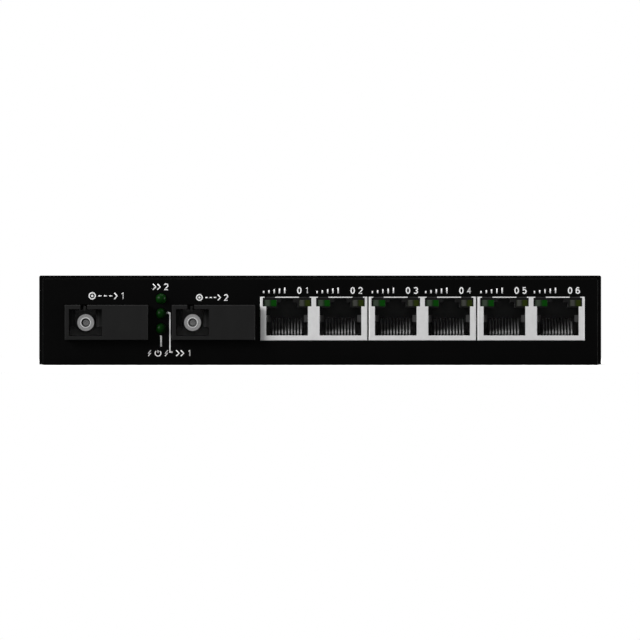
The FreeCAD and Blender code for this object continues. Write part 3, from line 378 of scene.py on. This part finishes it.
def finish_nodes():
    """Every CAD node's material."""
    coat = powder_coat()
    tin = sheet_metal("tin_plate", grey(0.86), 0.5, metallic=0.25)
    # painted shade: the springs inside the ports are the shield's own sheet, given a darker metal
    spring = sheet_metal("darkened_spring_metal", grey(0.3), 0.42)
    # painted shade: near-black on the shield's cut edge set back in the notches
    edge = sheet_metal("shaded_cut_edge", grey(0.09), 0.6, metallic=0.1)
    plated = sheet_metal("nickel_plate", grey(0.62), 0.3, (1, 1, 0.1))
    pin = sheet_metal("tinned_pin", grey(0.62), 0.35, (1, 0.05, 1), 0.5)
    can = sheet_metal("aluminium_can", grey(0.75), 0.28, (1, 1, 0.02))
    board = solder_mask()
    black = moulded("plastic_black", grey(0.0075), 0.55, 0.12)
    nose = moulded("plastic_charcoal", grey(0.0155), 0.55, 0.08, 0.18)
    epoxy = moulded("epoxy_black", grey(0.012), 0.6, 0.3)
    zirconia = ceramic()
    # painted light: a lighter grey for plastic faces deep in the sockets and ports, where shade falls
    lightened_dark_grey = moulded("dark_grey_painted_light", grey(0.06), 0.6, 0.1)
    # painted light: a pale grey for the jack housings' faces deep in the ports
    inner = moulded("soft_grey_painted_light", grey(0.11), 0.6, 0.1)
    # painted light: pale grey for the latch clips' deep plates and the contact carriers' deepest faces; the
    # clips' arm fronts stay near-black
    clip = moulded("pale_grey_painted_light", grey(0.3), 0.6, 0.1)
    arm = moulded("plastic_soft_black", grey(0.02), 0.6, 0.1)
    # painted shade: the stub's end face in the bore is a dark grey metal in place of white zirconia; only its
    # lower roughness is a real polish
    darkened_stub_end = sheet_metal("ferrule_end_shaded", grey(0.27), 0.25, metallic=0.8)
    same = {
        coat: ["base_chassis", "top_cover"],
        blackened_steel(): ["cover_screws"],
        plated: [
            "board_standoffs", "board_screws", "earth_screw", "earth_washer", "earth_nut",
            "fibre_optics",
        ],
        board: ["main_board", "fibre_boards"],
        black: ["status_light_holder", "inlet_body"],
        pin: [
            "fibre_pins", "jack_pins", "status_light_leads", "switch_chip_leads",
            "inlet_pin", "inlet_leaf", "inlet_leaf_tab",
        ],
        epoxy: ["switch_chip", "port_transformers", "small_chips", "power_inductor", "chip_components"],
        can: ["clock_crystal", "capacitors"],
        tinted_lens(): [f"status_light_{n}" for n in (1, 2, 3)],
    }
    for material, names in same.items():
        for name in names:
            finish_node(name, material)
    for n, (low, high) in enumerate(BARRELS, 1):
        finish_node(f"fibre_housing_{n}", nose)
        # painted light: the nose housing's faces deep in the socket are lighter than its front
        finish_faces(f"fibre_housing_{n}", lightened_dark_grey, deeper_than(low.y - 2 * MM))
        # painted light: the clip's plate deep in the socket is pale grey
        finish_node(f"fibre_latch_clip_{n}", clip)
        finish_faces(f"fibre_latch_clip_{n}", arm, clip_arm_test(low))
        axis = (low + high) / 2
        finish_node(f"fibre_barrel_{n}", turned_metal(f"turned_barrel_{n}", grey(0.55), 0.3, axis))
        # painted highlight: the barrel's front lip is a whiter copy of the barrel's metal; only its smoother
        # finish is real
        lip = turned_metal(f"brightened_lip_{n}", grey(1.0), 0.14, axis)
        finish_faces(f"fibre_barrel_{n}", lip, nearer_than(low.y + 1.0 * MM))
        finish_node(f"fibre_sleeve_{n}", zirconia)
        finish_node(f"fibre_stub_{n}", zirconia)
        stub_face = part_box(f"fibre_stub_{n}")[0].y
        # painted shade on the stub's end face
        finish_faces(f"fibre_stub_{n}", darkened_stub_end, nearer_than(stub_face + 0.2 * MM))
    for n in (1, 2, 3):
        finish_node(f"jack_shield_{n}", tin)
        # painted shade on the springs inside the ports
        finish_faces(f"jack_shield_{n}", spring, port_spring_test)
        # painted shade on the cut edge in the notches
        finish_faces(f"jack_shield_{n}", edge, sheared_edge_test)
        finish_node(f"jack_housing_{n}", black)
        # painted light on the housing's faces deep in the port
        finish_faces(f"jack_housing_{n}", inner, deeper_than(FRONT + 2.5 * MM))
        green, yellow = f"jack_green_lamps_{n}", f"jack_yellow_lamps_{n}"
        green_lens = lamp_lens(f"lamp_green_{n}", (0.001, 0.054, 0.001), (0.044, 0.059, 0.043), green)
        finish_node(green, green_lens)
        yellow_lens = lamp_lens(f"lamp_yellow_{n}", (0.022, 0.034, 0.003), (0.057, 0.058, 0.052), yellow)
        finish_node(yellow, yellow_lens)
    # painted light: the contact carriers, deep in the ports, are a lighter grey than the jack housings
    finish_node("contact_carriers", lightened_dark_grey)
    # painted light on the carriers' deepest faces
    finish_faces("contact_carriers", clip, deeper_than(FRONT + 13 * MM))
    wire = contact_wire()
    for n in range(1, 7):
        finish_node(f"port_contacts_{n}", wire)


# ---- Printed marks ----

INK_THICKNESS = 0.02 * MM
STROKE = 0.34 * MM  # the marks' line width
LINE = 0.52 * MM  # the leader lines' width
MARK_HEIGHT = 1.98 * MM


def finished_mesh(name, shape):
    """The mesh of an edited shape, which is then freed."""
    data = bpy.data.meshes.new(name)
    shape.to_mesh(data)
    shape.free()
    return data


def add_piece(name, data, material):
    """A new object that rides on the body."""
    piece = bpy.data.objects.new(name, data)
    bpy.context.scene.collection.objects.link(piece)
    data.materials.clear()
    data.materials.append(material)
    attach(piece, BODY)
    return piece


def mesh_of(curve_object):
    """The mesh of a curve object, which is then removed."""
    depsgraph = bpy.context.evaluated_depsgraph_get()
    mesh = bpy.data.meshes.new_from_object(curve_object.evaluated_get(depsgraph))
    bpy.data.objects.remove(curve_object)
    return mesh


def stroke_mesh(paths, width):
    """Round-ended strokes in a plane: each path is a list of (across, up) points and whether it is closed."""
    curve = bpy.data.curves.new("strokes", "CURVE")
    curve.dimensions = "3D"
    curve.bevel_depth = width / 2
    curve.bevel_resolution = 4
    curve.use_fill_caps = True
    for points, closed in paths:
        spline = curve.splines.new("POLY")
        spline.points.add(len(points) - 1)
        spline.use_cyclic_u = closed
        for point, (across, up) in zip(spline.points, points):
            point.co = (across, 0, up, 1)
    drawn = bpy.data.objects.new("strokes", curve)
    bpy.context.scene.collection.objects.link(drawn)
    mesh = mesh_of(drawn)
    flat = INK_THICKNESS / (width / 2)
    mesh.transform(Matrix.Diagonal((1, flat, 1, 1)))
    return mesh


def arc(centre, across, up, start, end, steps=20):
    """Points on part of an ellipse, with its two radii and its angles in degrees."""
    angles = [math.radians(start + (end - start) * i / steps) for i in range(steps + 1)]
    return [(centre[0] + across * math.cos(a), centre[1] + up * math.sin(a)) for a in angles]


def ring(centre, radius):
    """A closed circle of points."""
    return (arc(centre, radius, radius, 0, 345, 23), True)


DIGIT_SHAPE = 0.58  # a digit's width by its height, between the middles of its strokes


def digit_width(height):
    """A digit's whole width."""
    return (height - STROKE) * DIGIT_SHAPE + STROKE


def digit(number, left, middle, height):
    """The strokes of a digit from 0 to 6, with its left edge and its middle height given."""
    half = (height - STROKE) / 2
    wide = half * DIGIT_SHAPE
    centre_x = left + STROKE / 2 + wide

    def at(across, up):
        return (centre_x + across * wide, middle + up * half)

    def bow(up, size, start, end):
        return arc(at(0, up), wide, size * half, start, end)

    strokes = {
        0: bow(0, 1, 90, 432),
        1: [at(-0.5, 0.6), at(0.2, 1), at(0.2, -1)],
        2: bow(0.42, 0.58, 165, -40) + [at(-1, -1), at(1, -1)],
        3: bow(0.5, 0.5, 150, -80) + bow(-0.5, 0.5, 80, -150),
        4: [at(0.45, -1), at(0.45, 1), at(-1, -0.4), at(1, -0.4)],
        5: [at(0.8, 1), at(-0.7, 1), at(-0.8, 0.1)] + bow(-0.35, 0.65, 130, -150),
        6: bow(0, 1, 50, 180) + bow(-0.4, 0.6, 180, -180),
    }
    return (strokes[number], number == 0)


def print_on(name, meshes, plane, material, facing_back=False):
    """One printed piece from several flat meshes, lying on the front or back panel."""
    merged = bmesh.new()
    for mesh in meshes:
        merged.from_mesh(mesh)
        bpy.data.meshes.remove(mesh)
    if facing_back:
        bmesh.ops.transform(merged, matrix=Matrix.Rotation(math.pi, 4, "Z"), verts=merged.verts)
    bmesh.ops.translate(merged, vec=(0, plane, 0), verts=merged.verts)
    bmesh.ops.remove_doubles(merged, verts=merged.verts, dist=1e-7)
    return add_piece(name, finished_mesh(name, merged), material)


def chevron(left, middle, height, width):
    """An open arrowhead that points right."""
    half = height / 2 - STROKE / 2
    return ([(left, middle + half), (left + width, middle), (left, middle - half)], False)


def power_symbol(centre, height):
    """A broken ring with an upright bar."""
    radius = height / 2 - STROKE / 2
    broken = (arc(centre, radius, radius, 130, 410), False)
    bar = ([(centre[0], centre[1] + radius), (centre[0], centre[1] + radius * 0.1)], False)
    return [broken, bar]


def bolt(centre, height):
    """A small lightning bolt."""
    half, lean = height / 2 - STROKE / 2, height * 0.2
    x, z = centre
    kink = half * 0.05
    return ([(x + lean, z + half), (x - lean, z - kink), (x + lean, z + kink), (x - lean, z - half)], False)


def speed_bars(left, middle, height, count=5, pitch=1.5 * MM):
    """Upright bars that rise to the right, for a port's speed lamp."""
    base = middle - height / 2 + STROKE / 2
    tallest = height - STROKE
    shortest = tallest * 0.42
    bars = []
    for i in range(count):
        x = left + i * pitch
        rise = shortest + (tallest - shortest) * i / (count - 1)
        bars.append(([(x, base), (x, base + rise)], False))
    return bars


def port_marks(material):
    """Over each port, rising bars above the speed lamp and the port's number above the other."""
    middle = TOP - 4.27 * MM
    bars_left, first_digit, second_digit = -6.65 * MM, 2.85 * MM, 5.05 * MM
    for n, x in enumerate(PORT_X, 1):
        bars = stroke_mesh(speed_bars(x + bars_left, middle, MARK_HEIGHT), STROKE * 1.15)
        number = [
            digit(0, x + first_digit, middle, MARK_HEIGHT),
            digit(n, x + second_digit, middle, MARK_HEIGHT),
        ]
        print_on(f"port_mark_{n}", [bars, stroke_mesh(number, STROKE)], FRONT, material)


# Each fibre mark's left and right edge, height and middle height, in millimetres
FIBRE_MARKS = ((-65.94, -55.52, 2.11, 19.59), (-35.35, -26.18, 1.94, 19.13))


def fibre_marks(material):
    """Over each fibre socket, a ring with a dot, a dashed line, an arrowhead and the socket's number."""
    for n, mark in enumerate(FIBRE_MARKS, 1):
        left, right, height, middle = [value * MM for value in mark]
        radius = (height - STROKE) / 2
        centre = (left + height / 2, middle)
        number_left = right - digit_width(height)
        head = 0.8 * MM
        head_left = number_left - 1.7 * MM
        dashes_left = left + height + 0.75 * MM
        pitch = (head_left + 0.1 * MM - dashes_left) / 3
        paths = [ring(centre, radius), ring(centre, radius * 0.2), chevron(head_left, middle, height, head)]
        for i in range(3):
            start = dashes_left + i * pitch
            paths.append(([(start, middle), (start + pitch * 0.55, middle)], False))
        paths.append(digit(n, number_left, middle, height))
        print_on(f"fibre_mark_{n}", [stroke_mesh(paths, STROKE)], FRONT, material)


def link_mark(number, left, middle):
    """A double arrowhead and a fibre link's number."""
    head, pitch = 0.85 * MM, 1.3 * MM
    return [
        chevron(left + STROKE / 2, middle, MARK_HEIGHT, head),
        chevron(left + STROKE / 2 + pitch, middle, MARK_HEIGHT, head),
        digit(number, left + 3.3 * MM, middle, MARK_HEIGHT),
    ]


def light_marks(material):
    """The status lights' symbols: a numbered double arrowhead for each fibre link, and power."""
    low, high = 3.28 * MM, 22.18 * MM
    top = link_mark(2, LIGHT_X - 2.5 * MM, high)
    print_on("light_mark_top", [stroke_mesh(top, STROKE)], FRONT, material)
    middle = link_mark(1, LIGHT_X + 4.15 * MM, low)
    print_on("light_mark_middle", [stroke_mesh(middle, STROKE)], FRONT, material)
    power_x, bolt_offset = LIGHT_X - 0.87 * MM, 2.4 * MM
    power = power_symbol((power_x, low), MARK_HEIGHT)
    power += [bolt((power_x + side * bolt_offset, low), MARK_HEIGHT) for side in (-1, 1)]
    print_on("light_mark_bottom", [stroke_mesh(power, STROKE * 0.8)], FRONT, material)


def leader_lines(material):
    """Thin lines that lead from the middle and bottom lights to their symbols."""
    low, middle = 3.6 * MM, LIGHT_Z[1] + 0.17 * MM
    start, bend, end = [LIGHT_X + offset * MM for offset in (1.65, 2.52, 3.35)]
    long = [([(start, middle), (bend, middle), (bend, low), (end, low)], False)]
    short_top, short_bottom = LIGHT_Z[2] - 1.95 * MM, 5.2 * MM
    short = [([(LIGHT_X, short_top), (LIGHT_X, short_bottom)], False)]
    print_on("leader_line_long", [stroke_mesh(long, LINE)], FRONT, material)
    print_on("leader_line_short", [stroke_mesh(short, LINE)], FRONT, material)


def inlet_mark(material):
    """The inlet's centre-positive symbol: a dot in an open cup, joined to a plus and a minus in rings."""
    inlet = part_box("inlet_body")
    across, up = -(inlet[0].x + inlet[1].x) / 2, (inlet[0].z + inlet[1].z) / 2 + 9.2 * MM
    size, reach, sign = 1.0 * MM, 3.4 * MM, 0.5 * MM
    ring_gap = 1.2 * MM
    minus_x, plus_x = across - reach, across + reach
    paths = [
        ring((across, up), size * 0.15),
        (arc((across, up), size, size, 60, 300), False),
        ([(across, up), (plus_x - ring_gap, up)], False),
        ([(across - size, up), (minus_x + ring_gap, up)], False),
        ring((plus_x, up), size),
        ring((minus_x, up), size),
        ([(plus_x - sign, up), (plus_x + sign, up)], False),
        ([(plus_x, up - sign), (plus_x, up + sign)], False),
        ([(minus_x - sign, up), (minus_x + sign, up)], False),
    ]
    print_on("inlet_mark", [stroke_mesh(paths, STROKE * 0.8)], BACK, material, True)


def earth_mark(material):
    """The earth symbol in a ring, below the earth screw."""
    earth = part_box("earth_screw")
    across, up = -(earth[0].x + earth[1].x) / 2, (earth[0].z + earth[1].z) / 2 - 7.6 * MM
    bars = [
        ([(across - half * MM, up - drop * MM), (across + half * MM, up - drop * MM)], False)
        for half, drop in ((1.15, 0.1), (0.75, 0.55), (0.35, 1.0))
    ]
    stem = ([(across, up + 1.0 * MM), (across, up - 0.1 * MM)], False)
    paths = [ring((across, up), 1.9 * MM), stem] + bars
    print_on("earth_mark", [stroke_mesh(paths, STROKE * 0.9)], BACK, material, True)


# ---- Small inner parts ----


def lead_frames(material):
    """The metal posts inside each round light: a cupped anvil and a thinner post."""
    back = LIGHTS[0][1].y
    for n, z in enumerate(LIGHT_Z, 1):
        shape = bmesh.new()
        cup = bmesh.ops.create_cone(
            shape, cap_ends=False, segments=24, radius1=0.25 * MM, radius2=0.55 * MM, depth=0.5 * MM
        )
        turn = Matrix.Rotation(math.pi / 2, 4, "X")
        cup_place = Vector((LIGHT_X - 0.25 * MM, back - 3.35 * MM, z + 0.1 * MM))
        bmesh.ops.transform(shape, matrix=Matrix.Translation(cup_place) @ turn, verts=cup["verts"])
        for x, length, half in ((-0.25, 3.1, 0.22), (0.75, 3.6, 0.16)):
            blade = bmesh.ops.create_cube(shape, size=1)
            size = Matrix.Diagonal((half * 2 * MM, length * MM, half * 3 * MM, 1))
            place = Matrix.Translation((LIGHT_X + x * MM, back - (0.1 + length / 2) * MM, z + 0.1 * MM))
            bmesh.ops.transform(shape, matrix=place @ size, verts=blade["verts"])
        edges = [e for e in shape.edges if e.is_manifold and e.calc_face_angle(0) > 1.2]
        bmesh.ops.bevel(shape, geom=edges, offset=0.05 * MM, segments=2, affect="EDGES")
        data = finished_mesh(f"light_frame_{n}", shape)
        add_piece(f"light_frame_{n}", data, material)


def shade_strips(material):
    """Below each fibre module's nose, a thin black strip behind the panel that closes the gap: a dark piece
    put there as painted shade.
    """
    overhang, thickness, height = 0.4 * MM, 0.8 * MM, 1.1 * MM
    behind, gap = 1.3 * MM, 0.01 * MM
    for n in (1, 2):
        low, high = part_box(f"fibre_housing_{n}")
        size = (high.x - low.x + 2 * overhang, thickness, height, 1)
        middle = ((low.x + high.x) / 2, FRONT + behind, low.z - gap - height / 2)
        strip = bmesh.new()
        bmesh.ops.create_cube(strip, size=1, matrix=Matrix.Translation(middle) @ Matrix.Diagonal(size))
        data = finished_mesh(f"shade_strip_{n}", strip)
        add_piece(f"shade_strip_{n}", data, material)


# ---- Stage, light and camera ----

VIEW_WIDTH = 182.2 * MM
LENS, SENSOR = 600.0, 36.0
EYE = Vector((-0.05 * MM, 0, 12.73 * MM))  # the middle of the view
FLOOR_RADIUS, FLOOR_DROP = 0.45, 0.1 * MM
STUDIO_LIGHTS = (  # name, place, width, height and power in watts
    ("key", (-1.5, -1.0, 0.75), 0.9, 0.9, 42),
    ("fill", (1.4, -1.0, 0.4), 0.9, 0.9, 2.5),
    ("side", (1.6, -0.11, 0.1), 0.12, 0.9, 20),
    ("top", (0.1, 0.3, 1.35), 1.2, 0.8, 14),
    ("back", (0.5, 1.6, 0.7), 1.0, 0.8, 8),
)


def make_camera():
    """A very long lens straight in front."""
    data = bpy.data.cameras.new("camera")
    data.lens = LENS
    data.sensor_width = SENSOR
    camera = bpy.data.objects.new("camera", data)
    distance = VIEW_WIDTH * LENS / SENSOR
    camera.location = (EYE.x, FRONT - distance, EYE.z)
    camera.rotation_euler = (math.pi / 2, 0, 0)
    data.clip_start, data.clip_end = 0.1, 100
    bpy.context.scene.collection.objects.link(camera)
    bpy.context.scene.camera = camera


def make_floor():
    """A round floor, white to the camera and dark to all other rays, so that it sends little light up."""
    shape = bmesh.new()
    bmesh.ops.create_circle(shape, cap_ends=True, segments=96, radius=FLOOR_RADIUS)
    bmesh.ops.translate(shape, vec=(0, 0, -FLOOR_DROP), verts=shape.verts)
    data = finished_mesh("floor", shape)
    material, tree, shader = new_material("floor_pale")
    shader.inputs["Roughness"].default_value = 0.9
    shader.inputs["Specular IOR Level"].default_value = 0.0
    rays = tree.nodes.new("ShaderNodeLightPath")
    stops = [(0.0, grey(0.12)), (1.0, grey(0.94))]
    tree.links.new(ramp(tree, rays.outputs["Is Camera Ray"], stops), shader.inputs["Base Color"])
    data.materials.append(material)
    floor = bpy.data.objects.new("floor", data)
    bpy.context.scene.collection.objects.link(floor)


def make_world():
    """A white backdrop for the camera, and for light a soft room: dark in front but for one pale card."""
    world = bpy.data.worlds.new("studio")
    bpy.context.scene.world = world
    world.use_nodes = True
    tree = world.node_tree
    tree.nodes.clear()
    output = tree.nodes.new("ShaderNodeOutputWorld")
    mix = tree.nodes.new("ShaderNodeMixShader")
    rays = tree.nodes.new("ShaderNodeLightPath")
    room = tree.nodes.new("ShaderNodeBackground")
    direction = tree.nodes.new("ShaderNodeTexCoord").outputs["Generated"]
    separate = tree.nodes.new("ShaderNodeSeparateXYZ")
    tree.links.new(direction, separate.inputs["Vector"])
    depth = spread(tree, separate.outputs["Y"], 0, 1, -1, 1)
    card, dark = grey(0.9), grey(0.06)
    stops = [(0.0, card), (0.008, card), (0.02, dark), (0.3, grey(0.1)), (0.5, grey(0.8)), (0.6, grey(1.0))]
    tree.links.new(ramp(tree, depth, stops), room.inputs["Color"])
    white = tree.nodes.new("ShaderNodeBackground")
    white.inputs["Color"].default_value = (1, 1, 1, 1)
    tree.links.new(rays.outputs["Is Camera Ray"], mix.inputs["Fac"])
    tree.links.new(room.outputs["Background"], mix.inputs[1])
    tree.links.new(white.outputs["Background"], mix.inputs[2])
    tree.links.new(mix.outputs["Shader"], output.inputs["Surface"])


def area_light(name, place, width, height, power):
    """A soft box that faces the object."""
    data = bpy.data.lights.new(name, "AREA")
    data.shape = "RECTANGLE"
    data.size, data.size_y = width, height
    data.energy = power
    lamp = bpy.data.objects.new(name, data)
    lamp.location = place
    lamp.rotation_euler = (EYE - Vector(place)).to_track_quat("-Z", "Y").to_euler()
    lamp.visible_camera = False
    bpy.context.scene.collection.objects.link(lamp)


def make_lights():
    """A large key at the left, a weak fill and a grazing light at the right, and lights above and behind."""
    for name, place, width, height, power in STUDIO_LIGHTS:
        area_light(name, place, width, height, power)


def main():
    """Builds the whole scene."""
    make_camera()
    make_world()
    make_lights()
    make_floor()
    finish_nodes()
    white = ink()
    port_marks(white)
    fibre_marks(white)
    light_marks(white)
    leader_lines(white)
    inlet_mark(white)
    earth_mark(white)
    # painted shade: dark strips behind the panel under the noses
    shade_strips(moulded("shade_strip_black", grey(0.006), 0.8, 0.05))
    lead_frames(sheet_metal("lead_frame_silver", grey(0.3), 0.35))
    bpy.context.scene.view_settings.view_transform = "Standard"


main()

bpy.context.view_layer.update()
